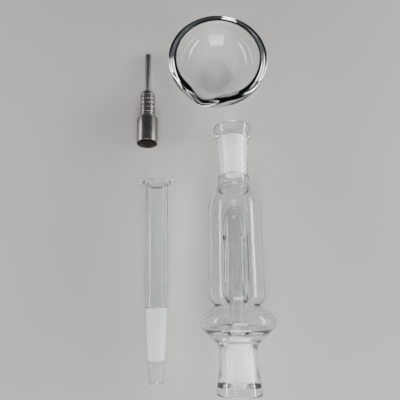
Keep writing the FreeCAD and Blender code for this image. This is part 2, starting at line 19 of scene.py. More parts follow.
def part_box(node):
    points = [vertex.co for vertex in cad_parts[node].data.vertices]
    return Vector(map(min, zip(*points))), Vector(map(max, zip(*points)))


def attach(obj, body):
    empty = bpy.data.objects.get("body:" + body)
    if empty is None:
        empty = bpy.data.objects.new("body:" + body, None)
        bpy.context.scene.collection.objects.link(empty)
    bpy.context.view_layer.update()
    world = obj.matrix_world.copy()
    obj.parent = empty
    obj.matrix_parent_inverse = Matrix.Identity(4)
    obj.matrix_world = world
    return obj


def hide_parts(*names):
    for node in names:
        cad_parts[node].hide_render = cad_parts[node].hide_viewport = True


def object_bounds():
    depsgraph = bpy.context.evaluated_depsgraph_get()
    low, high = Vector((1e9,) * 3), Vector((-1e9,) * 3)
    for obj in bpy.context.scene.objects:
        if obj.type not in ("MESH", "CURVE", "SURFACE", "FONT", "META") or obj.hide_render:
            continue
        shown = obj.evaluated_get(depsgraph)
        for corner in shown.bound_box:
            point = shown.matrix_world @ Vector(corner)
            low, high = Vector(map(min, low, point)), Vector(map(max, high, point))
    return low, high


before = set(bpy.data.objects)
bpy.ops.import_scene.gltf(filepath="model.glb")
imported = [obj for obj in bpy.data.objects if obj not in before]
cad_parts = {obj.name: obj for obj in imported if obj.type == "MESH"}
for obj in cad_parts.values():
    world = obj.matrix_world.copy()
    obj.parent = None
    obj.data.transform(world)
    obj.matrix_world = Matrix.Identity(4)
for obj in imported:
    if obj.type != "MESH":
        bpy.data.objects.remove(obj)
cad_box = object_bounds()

LOG = logging.getLogger("extractor_set")

MM = 0.001
TURN_STEPS = 180
STEP = math.tau / TURN_STEPS
MERGE = 1e-4
SHARP_ANGLE = math.radians(38)

JOINT_SLOPE = 0.05
EDGE_SHARE = 0.35

Colour = tuple[float, float, float]
Place = tuple[float, float, float]
Box = tuple[Vector, Vector]


class Body(Enum):
    """The bodies of the frame that pieces ride on."""

    EXTRACTOR = "extractor"
    TUBE = "tube"
    METAL_TIP = "metal_tip"
    DISH = "dish"


class Slot(Enum):
    """The record's material slots."""

    CLEAR = "clear_glass"
    GROUND = "ground_glass"
    DISH = "dish_glass"
    METAL = "titanium"


# ------------------------------------------------------------------ turned shapes
@dataclass(frozen=True)
class Corner:
    """A corner of a half section, and how far from it along both sides its rounding starts."""

    radius: float
    height: float
    soft: float = 0.0


@dataclass(frozen=True)
class Circle:
    """One circle of a turned piece, by its radius and its height."""

    radius: float
    height: float


class Outline:
    """The half section of a turned piece: a closed loop, or an open line with both ends on the axis."""

    def __init__(self, corners: Sequence[Corner], closed: bool = True) -> None:
        """Keeps the corners.

        Args:
            corners: the section's corners in order.
            closed: whether the last corner joins the first.
        """
        self.corners = list(corners)
        self.closed = closed

    def draw(self, bm: bmesh.types.BMesh) -> None:
        """Draws the section half a step off the X axis and rounds its corners.

        Args:
            bm: an empty mesh, which receives the wire.
        """
        across = Vector((math.cos(STEP / 2), math.sin(STEP / 2), 0))
        verts = [bm.verts.new(across * c.radius + Vector((0, 0, c.height))) for c in self.corners]
        for pair in zip(verts, verts[1:]):
            bm.edges.new(pair)
        if self.closed:
            bm.edges.new((verts[-1], verts[0]))
        for soft in sorted({c.soft for c in self.corners if c.soft}):
            chosen = [v for v, c in zip(verts, self.corners) if c.soft == soft]
            bmesh.ops.bevel(bm, geom=chosen, offset=soft, offset_type="OFFSET", affect="VERTICES",
                            segments=self.arc_steps(soft), profile=0.5, material=-1)

    @staticmethod
    def arc_steps(soft: float) -> int:
        """Gives a rounding more steps the larger it is."""
        return 2 + round(1.6 * math.sqrt(soft) + soft)

    def turned(self) -> bmesh.types.BMesh:
        """Spins the section into a closed skin whose faces point outwards.

        Returns:
            The mesh, in millimetres in the piece's own frame.
        """
        bm = bmesh.new()
        self.draw(bm)
        bmesh.ops.spin(bm, geom=bm.verts[:] + bm.edges[:], cent=(0, 0, 0), axis=(0, 0, 1),
                       angle=math.tau, steps=TURN_STEPS, use_merge=True)
        bmesh.ops.remove_doubles(bm, verts=bm.verts, dist=MERGE)
        bmesh.ops.recalc_face_normals(bm, faces=bm.faces)
        return bm


def mesh_box(parts: Iterable[bmesh.types.BMesh], turn: Matrix) -> Box:
    """Gives the box round several meshes once they are turned.

    Args:
        parts: the meshes.
        turn: the rotation, applied to a copy of each vertex.

    Returns:
        The lowest and the highest corner.
    """
    points = [turn @ v.co for bm in parts for v in bm.verts]
    low = Vector([min(p[axis] for p in points) for axis in range(3)])
    high = Vector([max(p[axis] for p in points) for axis in range(3)])
    return low, high


def node_box(nodes: Iterable[str]) -> Box:
    """Gives the box round several nodes of the frame.

    Args:
        nodes: the nodes' names.

    Returns:
        The lowest and the highest corner, in metres.
    """
    boxes = [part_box(node) for node in nodes]
    low = Vector([min(b[0][axis] for b in boxes) for axis in range(3)])
    high = Vector([max(b[1][axis] for b in boxes) for axis in range(3)])
    return low, high


def settle(parts: Sequence[bmesh.types.BMesh], turn: Matrix, nodes: Sequence[str]) -> Matrix:
    """Finds where meshes go, so that the middle of their box is the middle of their nodes' box.

    Args:
        parts: the meshes, in millimetres in one frame.
        turn: how that frame is turned on the bench.
        nodes: the nodes that the meshes stand for.

    Returns:
        The matrix from the piece's frame in millimetres to the bench in metres.
    """
    low, high = mesh_box(parts, turn)
    cad_low, cad_high = node_box(nodes)
    shift = (cad_low + cad_high) / 2 - (low + high) / 2 * MM
    return Matrix.Translation(shift) @ turn @ Matrix.Scale(MM, 4)


def finished(name: str, bm: bmesh.types.BMesh, place: Matrix,
             materials: Sequence[bpy.types.Material]) -> bpy.types.Object:
    """Makes the scene's object of a mesh, with its place in its vertices.

    Args:
        name: the piece's name.
        bm: the mesh in the piece's frame; it is freed.
        place: the matrix to the bench.
        materials: the materials, in the order of the faces' indices.

    Returns:
        The object, at the origin, unturned and unscaled.
    """
    bm.transform(place)
    mesh = bpy.data.meshes.new(name)
    bm.to_mesh(mesh)
    bm.free()
    for material in materials:
        mesh.materials.append(material)
    mesh.shade_smooth()
    mesh.set_sharp_from_angle(angle=SHARP_ANGLE)
    piece = bpy.data.objects.new(name, mesh)
    bpy.context.scene.collection.objects.link(piece)
    return piece


def hand_over(piece: bpy.types.Object, body: Body, nodes: Sequence[str]) -> None:
    """Rides a piece on its body and lets it stand for its nodes.

    Args:
        piece: the finished object.
        body: the body that it moves with.
        nodes: the nodes that it replaces.
    """
    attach(piece, body.value)
    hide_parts(*nodes)
    LOG.info("%s: %d faces for %s", piece.name, len(piece.data.polygons), ", ".join(nodes))


def fused(bm: bmesh.types.BMesh, tool: bmesh.types.BMesh) -> bmesh.types.BMesh:
    """Melts one mesh into another.

    Args:
        bm: the main mesh; it is freed.
        tool: the mesh that joins it; it is freed.

    Returns:
        Their union.
    """
    objects = []
    for source in (bm, tool):
        mesh = bpy.data.meshes.new("melting")
        source.to_mesh(mesh)
        source.free()
        objects.append(bpy.data.objects.new("melting", mesh))
        bpy.context.scene.collection.objects.link(objects[-1])
    union = objects[0].modifiers.new("union", "BOOLEAN")
    union.operation = "UNION"
    union.solver = "EXACT"
    union.object = objects[1]
    graph = bpy.context.evaluated_depsgraph_get()
    result = bmesh.new()
    result.from_mesh(objects[0].evaluated_get(graph).to_mesh())
    for ob in objects:
        bpy.data.objects.remove(ob)
    return result


# ------------------------------------------------------------------ node trees
class Wiring:
    """Adds nodes to one tree and joins them."""

    def __init__(self, tree: bpy.types.NodeTree) -> None:
        """Starts from an empty tree."""
        self.tree = tree
        tree.nodes.clear()

    def add(self, kind: str, values: dict | None = None, **settings: object) -> bpy.types.Node:
        """Adds a node.

        Args:
            kind: the node's type name.
            values: numbers or colours for its inputs, by name.
            settings: its own properties.

        Returns:
            The node.
        """
        node = self.tree.nodes.new(kind)
        for name, value in settings.items():
            setattr(node, name, value)
        for name, value in (values or {}).items():
            node.inputs[name].default_value = value
        return node

    def join(self, source: bpy.types.NodeSocket, target: bpy.types.NodeSocket) -> None:
        """Links an output to an input."""
        self.tree.links.new(source, target)

    def place_effect(self, group: bpy.types.NodeTree, vector: bpy.types.NodeSocket,
                     values: dict[str, float]) -> bpy.types.Node:
        """Adds an effect group that reads the piece's own coordinates.

        Args:
            group: the effect.
            vector: the coordinates.
            values: its other inputs.

        Returns:
            The group node.
        """
        node = self.tree.nodes.new("ShaderNodeGroup")
        node.node_tree = group
        for name, value in values.items():
            node.inputs[name].default_value = value
        self.join(vector, node.inputs["Vector"])
        return node


class Effects:
    """The effects that several finishes share, each a node group built once."""

    def __init__(self) -> None:
        """Builds the three groups."""
        self.film = self.build_film()
        self.ripple = self.build_ripple()
        self.lines = self.build_lines()

    @staticmethod
    def new_group(name: str, numbers: Sequence[str], output: str) -> tuple[Wiring, dict]:
        """Starts a group with a Vector input, number inputs and one number output.

        Args:
            name: the group's name.
            numbers: the names of its number inputs.
            output: the name of its output.

        Returns:
            The wiring, and the group's inner sockets by name.
        """
        tree = bpy.data.node_groups.new(name, "ShaderNodeTree")
        tree.interface.new_socket("Vector", in_out="INPUT", socket_type="NodeSocketVector")
        for number in numbers:
            tree.interface.new_socket(number, in_out="INPUT", socket_type="NodeSocketFloat")
        tree.interface.new_socket(output, in_out="OUTPUT", socket_type="NodeSocketFloat")
        wiring = Wiring(tree)
        source = wiring.add("NodeGroupInput")
        sink = wiring.add("NodeGroupOutput")
        sockets = {s.name: s for s in source.outputs if s.name}
        sockets[output] = sink.inputs[output]
        return wiring, sockets

    def build_film(self) -> bpy.types.NodeTree:
        """Builds the handling film: soft patches between a least and a most roughness.

        Returns:
            The group.
        """
        wiring, ports = self.new_group("handling_film", ["Scale", "Least", "Most"], "Roughness")
        patches = wiring.add("ShaderNodeTexNoise", {"Detail": 4.0, "Roughness": 0.6, "Distortion": 0.4})
        spread = wiring.add("ShaderNodeMapRange", {"From Min": 0.42, "From Max": 0.68})
        wiring.join(ports["Vector"], patches.inputs["Vector"])
        wiring.join(ports["Scale"], patches.inputs["Scale"])
        wiring.join(patches.outputs[0], spread.inputs["Value"])
        wiring.join(ports["Least"], spread.inputs["To Min"])
        wiring.join(ports["Most"], spread.inputs["To Max"])
        wiring.join(spread.outputs[0], ports["Roughness"])
        return wiring.tree

    def build_ripple(self) -> bpy.types.NodeTree:
        """Builds the drawn ripple: long shallow waves along the axis, as flame-worked tube has.

        Returns:
            The group.
        """
        wiring, ports = self.new_group("drawn_ripple", ["Scale", "Stretch"], "Height")
        apart = wiring.add("ShaderNodeSeparateXYZ")
        along = wiring.add("ShaderNodeMath", operation="MULTIPLY")
        again = wiring.add("ShaderNodeCombineXYZ")
        waves = wiring.add("ShaderNodeTexNoise", {"Detail": 1.5, "Roughness": 0.4})
        wiring.join(ports["Vector"], apart.inputs[0])
        wiring.join(apart.outputs["Z"], along.inputs[0])
        wiring.join(ports["Stretch"], along.inputs[1])
        wiring.join(apart.outputs["X"], again.inputs["X"])
        wiring.join(apart.outputs["Y"], again.inputs["Y"])
        wiring.join(along.outputs[0], again.inputs["Z"])
        wiring.join(again.outputs[0], waves.inputs["Vector"])
        wiring.join(ports["Scale"], waves.inputs["Scale"])
        wiring.join(waves.outputs[0], ports["Height"])
        return wiring.tree

    def build_lines(self) -> bpy.types.NodeTree:
        """Builds the tool lines: uneven fine rings round the axis, as turning and taper grinding leave.

        Returns:
            The group.
        """
        wiring, ports = self.new_group("tool_lines", ["Pitch", "Wander"], "Height")
        apart = wiring.add("ShaderNodeSeparateXYZ")
        drift = wiring.add("ShaderNodeTexNoise", {"Scale": 0.25, "Detail": 2.0})
        wander = wiring.add("ShaderNodeMath", operation="MULTIPLY")
        total = wiring.add("ShaderNodeMath", operation="ADD")
        count = wiring.add("ShaderNodeMath", operation="MULTIPLY")
        rings = wiring.add("ShaderNodeTexNoise", {"Scale": 1.0, "Detail": 3.0, "Roughness": 0.7},
                           noise_dimensions="1D")
        wiring.join(ports["Vector"], apart.inputs[0])
        wiring.join(ports["Vector"], drift.inputs["Vector"])
        wiring.join(drift.outputs[0], wander.inputs[0])
        wiring.join(ports["Wander"], wander.inputs[1])
        wiring.join(apart.outputs["Z"], total.inputs[0])
        wiring.join(wander.outputs[0], total.inputs[1])
        wiring.join(total.outputs[0], count.inputs[0])
        wiring.join(ports["Pitch"], count.inputs[1])
        wiring.join(count.outputs[0], rings.inputs["W"])
        wiring.join(rings.outputs[0], ports["Height"])
        return wiring.tree


def piece_coordinates(wiring: Wiring, place: Matrix) -> bpy.types.NodeSocket:
    """Gives coordinates in millimetres in the upright frame of a piece.

    Args:
        wiring: the material's wiring.
        place: the matrix from that frame to the bench.

    Returns:
        The vector socket.
    """
    back = place.inverted()
    source = wiring.add("ShaderNodeTexCoord")
    mapping = wiring.add("ShaderNodeMapping", vector_type="POINT")
    mapping.inputs["Location"].default_value = back.to_translation()
    mapping.inputs["Rotation"].default_value = back.to_euler()
    mapping.inputs["Scale"].default_value = back.to_scale()
    wiring.join(source.outputs["Object"], mapping.inputs["Vector"])
    return mapping.outputs[0]


# ------------------------------------------------------------------ finishes
def start_finish(name: str, place: Matrix) -> tuple[bpy.types.Material, Wiring, bpy.types.NodeSocket]:
    """Starts a material for a piece.

    Args:
        name: the material's name.
        place: the matrix from the piece's frame to the bench.

    Returns:
        The material, its wiring and the piece's own coordinates.
    """
    material = bpy.data.materials.new(name)
    material.use_nodes = True
    wiring = Wiring(material.node_tree)
    return material, wiring, piece_coordinates(wiring, place)


def raise_surface(wiring: Wiring, height: bpy.types.NodeSocket, most: float,
                  shader: bpy.types.Node) -> None:
    """Gives a shader small relief.

    Args:
        wiring: the material's wiring.
        height: the relief, from 0 to 1.
        most: the relief's height in metres at 1.
        shader: the shader whose normal it turns.
    """
    bump = wiring.add("ShaderNodeBump", {"Strength": 1.0, "Distance": most})
    wiring.join(height, bump.inputs["Height"])
    wiring.join(bump.outputs["Normal"], shader.inputs["Normal"])


def blend(wiring: Wiring, first: Colour, second: Colour,
          target: bpy.types.NodeSocket) -> bpy.types.NodeSocket:
    """Feeds a colour socket with a mix of two colours.

    Args:
        wiring: the material's wiring.
        first: the colour at factor 0.
        second: the colour at factor 1.
        target: the socket that receives the mix.

    Returns:
        The mix's factor socket, to be joined.
    """
    mix = wiring.add("ShaderNodeMix", data_type="RGBA")
    socket_a, socket_b = [s for s in mix.inputs if s.type == "RGBA"]
    socket_a.default_value = (*first, 1.0)
    socket_b.default_value = (*second, 1.0)
    wiring.join([s for s in mix.outputs if s.type == "RGBA"][0], target)
    return mix.inputs["Factor"]


def let_lamps_through(wiring: Wiring, glass: bpy.types.Node, clear: Colour, edge: Colour) -> None:
    """Ends a glass material so that lamp light passes it without bending.

    Args:
        wiring: the material's wiring.
        glass: the glass shader.
        clear: what is left of lamp light that meets the wall squarely.
        edge: what is left of lamp light that meets the wall edge on.
    """
    facing = wiring.add("ShaderNodeLayerWeight", {"Blend": EDGE_SHARE})
    path = wiring.add("ShaderNodeLightPath")
    open_way = wiring.add("ShaderNodeBsdfTransparent")
    choice = wiring.add("ShaderNodeMixShader")
    output = wiring.add("ShaderNodeOutputMaterial")
    wiring.join(facing.outputs["Facing"], blend(wiring, clear, edge, open_way.inputs["Color"]))
    wiring.join(path.outputs["Is Shadow Ray"], choice.inputs[0])
    wiring.join(glass.outputs[0], choice.inputs[1])
    wiring.join(open_way.outputs[0], choice.inputs[2])
    wiring.join(choice.outputs[0], output.inputs["Surface"])


@dataclass(frozen=True)
class ClearGlass:
    """Fire-polished borosilicate glass with a trace of handling film and drawn ripple. Its colour darkens
    towards grazing angles: painted shade for the dark refracted edges.
    """

    name: str
    tint: Colour = (0.985, 0.995, 0.99)
    # painted shade: the near-black colour the glass is given at grazing angles
    painted_edge_shade: Colour = (0.12, 0.15, 0.145)
    refraction: float = 1.474
    least_rough: float = 0.0
    most_rough: float = 0.035
    film_scale: float = 0.09
    ripple_scale: float = 0.16
    ripple_stretch: float = 0.12
    ripple_height: float = 0.00003
    shade_clear: Colour = (0.93, 0.945, 0.94)
    shade_edge: Colour = (0.16, 0.18, 0.18)

    def material(self, effects: Effects, place: Matrix) -> bpy.types.Material:
        """Builds the material for one piece.

        Args:
            effects: the shared groups.
            place: the matrix from the piece's frame to the bench.

        Returns:
            The material. Rays from the lamps pass it straight, darkened where they meet it edge on.
        """
        material, wiring, own = start_finish(self.name, place)
        film = wiring.place_effect(effects.film, own, {
            "Scale": self.film_scale, "Least": self.least_rough, "Most": self.most_rough})
        ripple = wiring.place_effect(effects.ripple, own, {
            "Scale": self.ripple_scale, "Stretch": self.ripple_stretch})
        graze = wiring.add("ShaderNodeFresnel", {"IOR": self.refraction})
        glass = wiring.add("ShaderNodeBsdfPrincipled", {
            "Transmission Weight": 1.0, "IOR": self.refraction})
        # Painted shade: Fresnel darkens the base colour towards grazing angles, standing in for the dark
        # edges that refraction gives glass.
        wiring.join(graze.outputs[0], blend(wiring, self.tint, self.painted_edge_shade, glass.inputs["Base Color"]))
        wiring.join(film.outputs["Roughness"], glass.inputs["Roughness"])
        raise_surface(wiring, ripple.outputs["Height"], self.ripple_height, glass)
        let_lamps_through(wiring, glass, self.shade_clear, self.shade_edge)
        return material


@dataclass(frozen=True)
class GroundGlass:
    """Glass ground to a taper: frosted, with fine rings from the grinding tool."""

    name: str
    tint: Colour = (0.90, 0.91, 0.92)
    refraction: float = 1.474
    transmission: float = 0.45
    least_rough: float = 0.42
    most_rough: float = 0.58
    film_scale: float = 0.35
    ring_pitch: float = 3.2
    ring_wander: float = 0.35
    ring_height: float = 0.00006
    shade_clear: Colour = (0.80, 0.81, 0.82)
    shade_edge: Colour = (0.45, 0.46, 0.47)

    def material(self, effects: Effects, place: Matrix) -> bpy.types.Material:
        """Builds the material for one piece.

        Args:
            effects: the shared groups.
            place: the matrix from the piece's frame to the bench.

        Returns:
            The material.
        """
        material, wiring, own = start_finish(self.name, place)
        film = wiring.place_effect(effects.film, own, {
            "Scale": self.film_scale, "Least": self.least_rough, "Most": self.most_rough})
        lines = wiring.place_effect(effects.lines, own, {
            "Pitch": self.ring_pitch, "Wander": self.ring_wander})
        glass = wiring.add("ShaderNodeBsdfPrincipled", {
            "Base Color": (*self.tint, 1.0), "Transmission Weight": self.transmission,
            "IOR": self.refraction})
        wiring.join(film.outputs["Roughness"], glass.inputs["Roughness"])
        raise_surface(wiring, lines.outputs["Height"], self.ring_height, glass)
        let_lamps_through(wiring, glass, self.shade_clear, self.shade_edge)
        return material


@dataclass(frozen=True)
class TurnedMetal:
    """Bare turned titanium: dark warm grey with tool rings, patchy oxide and bright worn edges."""

    name: str
    colour: Colour = (0.25, 0.235, 0.22)
    oxide: Colour = (0.17, 0.155, 0.145)
    worn: Colour = (0.45, 0.43, 0.41)
    least_rough: float = 0.30
    most_rough: float = 0.42
    film_scale: float = 0.22
    oxide_scale: float = 0.11
    ring_pitch: float = 3.0
    ring_wander: float = 0.04
    ring_height: float = 0.000012
    wear_starts: float = 0.52
    wear_ends: float = 0.60

    def material(self, effects: Effects, place: Matrix) -> bpy.types.Material:
        """Builds the material for the metal tip.

        Args:
            effects: the shared groups.
            place: the matrix from the piece's frame to the bench.

        Returns:
            The material.
        """
        material, wiring, own = start_finish(self.name, place)
        film = wiring.place_effect(effects.film, own, {
            "Scale": self.film_scale, "Least": self.least_rough, "Most": self.most_rough})
        patches = wiring.place_effect(effects.film, own, {
            "Scale": self.oxide_scale, "Least": 0.0, "Most": 1.0})
        lines = wiring.place_effect(effects.lines, own, {
            "Pitch": self.ring_pitch, "Wander": self.ring_wander})
        geometry = wiring.add("ShaderNodeNewGeometry")
        wear = wiring.add("ShaderNodeMapRange", {"From Min": self.wear_starts, "From Max": self.wear_ends})
        edges = wiring.add("ShaderNodeMix", data_type="RGBA")
        metal = wiring.add("ShaderNodeBsdfPrincipled", {"Metallic": 1.0})
        output = wiring.add("ShaderNodeOutputMaterial")
        under, over = [s for s in edges.inputs if s.type == "RGBA"]
        over.default_value = (*self.worn, 1.0)
        wiring.join(patches.outputs["Roughness"], blend(wiring, self.colour, self.oxide, under))
        wiring.join(geometry.outputs["Pointiness"], wear.inputs["Value"])
        wiring.join(wear.outputs[0], edges.inputs["Factor"])
        wiring.join([s for s in edges.outputs if s.type == "RGBA"][0], metal.inputs["Base Color"])
        wiring.join(film.outputs["Roughness"], metal.inputs["Roughness"])
        raise_surface(wiring, lines.outputs["Height"], self.ring_height, metal)
        wiring.join(metal.outputs[0], output.inputs["Surface"])
        return material


# ------------------------------------------------------------------ laid pieces
@dataclass
class LaidPiece:
    """A turned piece that lies on the bench on two of its circles."""

    near: Circle
    far: Circle
    heading: float = 0.0

    def turn(self) -> Matrix:
        """Lays the piece down until both circles touch the bench.

        Returns:
            The rotation from its upright frame.
        """
        climb = math.atan2(self.far.radius - self.near.radius, self.far.height - self.near.height)
        level = Matrix.Rotation(climb - math.pi / 2, 4, "X")
        return Matrix.Rotation(math.radians(self.heading), 4, "Z") @ level


@dataclass
class ExtractorBody(LaidPiece):
    """The extractor body: chamber, percolator, bulb and two ground sockets, welded into one skin.

    Where two corners of the inner and outer wall would share a height, small_step keeps them apart.
    """

    near: Circle = Circle(24.7, 42.3)
    far: Circle = Circle(14.25, 179.5)
    rim_soft: float = 0.8
    mouth_radius: float = 7.25
    mouth_soft: float = 0.4
    mouth_funnel: float = 2.2
    collar_wall: float = 1.9
    lower_rim_radius: float = 14.05
    lower_collar_radius: float = 13.35
    lower_collar_top: float = 13.5
    lower_mouth: float = 6.9
    lower_socket_radius: float = 12.05
    lower_bore_top: float = 31.8
    nose_top: float = 34.7
    bulb_foot: float = 28.2
    ridge: Corner = Corner(28.0, 42.9, 7.3)
    ridge_inside: Corner = Corner(24.7, 42.5, 4.5)
    waist: float = 52.3
    waist_radius: float = 14.45
    waist_bore: float = 12.45
    floor_edge_radius: float = 18.43
    floor_edge: float = 36.8
    floor_top: float = 40.8
    floor_wall: float = 1.6
    void_edge_radius: float = 16.67
    void_foot: float = 31.0
    void_foot_radius: float = 5.8
    riser_radius: float = 4.9
    riser_bore: float = 3.6
    riser_top: float = 66.5
    chamber_radius: float = 18.25
    chamber_bore: float = 16.05
    chamber_foot: float = 55.1
    shoulder_corner: float = 124.4
    small_step: float = 0.1
    neck_foot: float = 130.7
    neck_foot_radius: float = 12.2
    ring_foot: float = 130.2
    ring_top: float = 133.2
    ring_bore: float = 8.6
    ring_foot_bore: float = 8.95
    ring_soft: float = 0.6
    neck_bore_foot: float = 10.6
    neck_bore_ring: float = 10.1
    neck_bore_top: float = 9.05
    neck_top: float = 141.5
    upper_socket_radius: float = 10.85
    flare_foot: float = 165.8
    flare_top: float = 171.3
    upper_collar_radius: float = 12.55
    upper_mouth: float = 172.3
    bell_radius: float = 10.0
    bell_bore: float = 8.5
    bell_top: float = 118.7
    bell_wall: float = 1.5
    bell_hip: float = 57.25
    bell_hip_inside: float = 58.97
    bell_foot: float = 54.2
    bell_foot_inside: float = 56.75
    slit_foot: float = 67.2
    slit_top: float = 97.2
    slit_count: int = 10
    slit_columns: int = 3
    slit_reach: float = 0.5
    lower_ground: tuple[float, float] = (7.7, 31.3)
    upper_ground: tuple[float, float] = (142.0, 171.8)
    ground_reach: tuple[float, float] = (5.7, 7.3)
    nodes: tuple[str, ...] = (
        "lower_collar", "lower_socket", "bulb_lower", "bulb_upper", "bulb_floor", "riser_tube",
        "percolator_bell", "percolator_base", "chamber_wall", "chamber_shoulder", "weld_ring",
        "upper_socket", "upper_collar")

    def ground_radius(self, depth: float) -> float:
        """The radius of a ground bore at a depth below its mouth."""
        return self.mouth_radius - depth * JOINT_SLOPE

    def bell_outside(self) -> list[Corner]:
        """Runs down the percolator from its crown to the riser.

        Returns:
            The corners.
        """
        return [
            Corner(0.0, self.bell_top),
            Corner(self.bell_radius, self.bell_top, self.bell_radius - self.small_step),
            Corner(self.bell_radius, self.slit_top),
            Corner(self.bell_radius, self.slit_foot),
            Corner(self.bell_radius, self.bell_hip, 5.1),
            Corner(self.riser_radius, self.bell_foot, 0.7),
        ]

    def chamber_inside(self) -> list[Corner]:
        """Runs from the riser's foot over the bulb's floor and up the inside of the chamber.

        Returns:
            The corners.
        """
        return [
            Corner(self.riser_radius, self.floor_top, 1.0),
            Corner(self.floor_edge_radius, self.floor_edge, 1.2),
            self.ridge_inside,
            Corner(self.waist_bore, self.waist, 0.9),
            Corner(self.chamber_bore, self.chamber_foot + self.small_step, 3.6),
            Corner(self.chamber_bore, self.shoulder_corner - self.small_step, 7.2),
            Corner(self.neck_bore_foot, self.ring_foot - self.small_step, 0.5),
            Corner(self.ring_foot_bore, self.ring_foot, self.ring_soft),
            Corner(self.ring_bore, self.ring_top, self.ring_soft),
            Corner(self.neck_bore_ring, self.ring_top + self.small_step, 0.5),
            Corner(self.neck_bore_top, self.neck_top, 1.0),
        ]

    def upper_joint(self) -> list[Corner]:
        """Runs up the upper socket's ground bore, over its cup and rim, and down its outer wall.

        Returns:
            The corners.
        """
        rim = self.far
        cup_radius = self.upper_collar_radius - self.collar_wall
        return [
            Corner(self.ground_radius(self.upper_mouth - self.neck_top), self.neck_top, 0.5),
            Corner(self.mouth_radius, self.upper_mouth, self.mouth_soft),
            Corner(cup_radius, self.upper_mouth + self.mouth_funnel, 0.8),
            Corner(rim.radius - self.collar_wall, rim.height, self.rim_soft),
            Corner(rim.radius, rim.height, self.rim_soft),
            Corner(self.upper_collar_radius, self.flare_top, 2.0),
            Corner(self.upper_socket_radius, self.flare_foot, 2.0),
            Corner(self.upper_socket_radius, self.neck_top, 2.5),
            Corner(self.neck_foot_radius, self.neck_foot, 1.9),
        ]

    def chamber_outside(self) -> list[Corner]:
        """Runs down the outer wall from the shoulder over the waist and the bulb's ridge.

        Returns:
            The corners.
        """
        return [
            Corner(self.chamber_radius, self.shoulder_corner, 6.7),
            Corner(self.chamber_radius, self.chamber_foot, 3.7),
            Corner(self.waist_radius, self.waist, 0.9),
            self.ridge,
            Corner(self.lower_socket_radius, self.bulb_foot, 3.0),
        ]

    def lower_joint(self) -> list[Corner]:
        """Runs down the lower socket, round its rim and cup, and up its ground bore to the riser.

        Returns:
            The corners.
        """
        cup_radius = self.lower_collar_radius - self.collar_wall
        bore_end = self.ground_radius(self.lower_bore_top - self.lower_mouth)
        return [
            Corner(self.lower_socket_radius, self.lower_collar_top, 2.0),
            Corner(self.lower_collar_radius, self.lower_mouth, 1.5),
            Corner(self.lower_rim_radius, 0.0, self.rim_soft),
            Corner(self.lower_rim_radius - self.collar_wall, 0.0, self.rim_soft),
            Corner(cup_radius, self.lower_mouth - self.mouth_funnel, 0.8),
            Corner(self.mouth_radius, self.lower_mouth, self.mouth_soft),
            Corner(bore_end, self.lower_bore_top, 0.5),
            Corner(self.riser_bore, self.nose_top, 0.8),
        ]

    def bell_inside(self) -> list[Corner]:
        """Runs up the riser's bore, over its tip, and up the bell's inner wall to its crown.

        Returns:
            The corners.
        """
        inner_top = self.bell_top - self.bell_wall
        return [
            Corner(self.riser_bore, self.riser_top, 0.5),
            Corner(self.riser_radius, self.riser_top, 0.5),
            Corner(self.riser_radius, self.bell_foot_inside, 0.6),
            Corner(self.bell_bore, self.bell_hip_inside, 3.5),
            Corner(self.bell_bore, self.slit_foot),
            Corner(self.bell_bore, self.slit_top),
            Corner(self.bell_bore, inner_top, self.bell_bore - self.small_step),
            Corner(0.0, inner_top),
        ]

    def floor_void(self) -> list[Corner]:
        """Rounds the sealed hollow under the bulb's floor, about the foot of the riser.

        Returns:
            The corners.
        """
        return [
            Corner(self.riser_radius, self.floor_top - self.floor_wall, 0.5),
            Corner(self.void_edge_radius, self.floor_edge - self.floor_wall, 0.4),
            Corner(self.lower_socket_radius, self.void_foot, 0.8),
            Corner(self.void_foot_radius, self.nose_top, 0.3),
            Corner(self.riser_radius, self.nose_top, 0.3),
        ]

    def cut_slits(self, bm: bmesh.types.BMesh) -> None:
        """Opens the percolator's slits through both faces of the bell.

        Args:
            bm: the body's skin, in the piece's frame.
        """
        middle = (self.slit_foot + self.slit_top) / 2
        half_width = STEP * self.slit_columns / 2
        wall_middle = (self.bell_bore + self.bell_radius) / 2
        wall_reach = self.bell_wall / 2 + self.slit_reach
        for index in range(self.slit_count):
            heading = math.tau * index / self.slit_count
            across = Vector((math.cos(heading), math.sin(heading)))
            doomed = []
            for face in bm.faces:
                centre = face.calc_center_median()
                flat = centre.xy
                close = abs(flat.length - wall_middle) < wall_reach
                if close and abs(centre.z - middle) < self.slit_reach and flat.angle(across) < half_width:
                    doomed.append(face)
            bmesh.ops.delete(bm, geom=doomed, context="FACES")
            rims = [edge for edge in bm.edges if edge.is_boundary]
            bmesh.ops.bridge_loops(bm, edges=rims)

    def grind(self, bm: bmesh.types.BMesh) -> None:
        """Gives both ground bores the second material.

        Args:
            bm: the body's skin, in the piece's frame.
        """
        for face in bm.faces:
            centre = face.calc_center_median()
            in_bore = self.ground_reach[0] < centre.xy.length < self.ground_reach[1]
            zones = (self.lower_ground, self.upper_ground)
            if in_bore and any(low < centre.z < high for low, high in zones):
                face.material_index = 1

    def build(self, effects: Effects) -> bpy.types.Object:
        """Builds and dresses the body.

        Args:
            effects: the shared groups.

        Returns:
            The glass piece.
        """
        corners = (self.bell_outside() + self.chamber_inside() + self.upper_joint()
                   + self.chamber_outside() + self.lower_joint() + self.bell_inside())
        bm = Outline(corners, closed=False).turned()
        self.cut_slits(bm)
        bmesh.ops.recalc_face_normals(bm, faces=bm.faces)
        self.grind(bm)
        hollow = Outline(self.floor_void()).turned()
        bmesh.ops.reverse_faces(hollow, faces=hollow.faces)
        inner = bpy.data.meshes.new("floor_void")
        hollow.to_mesh(inner)
        hollow.free()
        bm.from_mesh(inner)
        bpy.data.meshes.remove(inner)
        place = settle([bm], self.turn(), self.nodes)
        finishes = [ClearGlass("body_clear_glass").material(effects, place),
                    GroundGlass("body_ground_bores").material(effects, place)]
        piece = finished("extractor_glass", bm, place, finishes)
        hand_over(piece, Body.EXTRACTOR, self.nodes)
        return piece


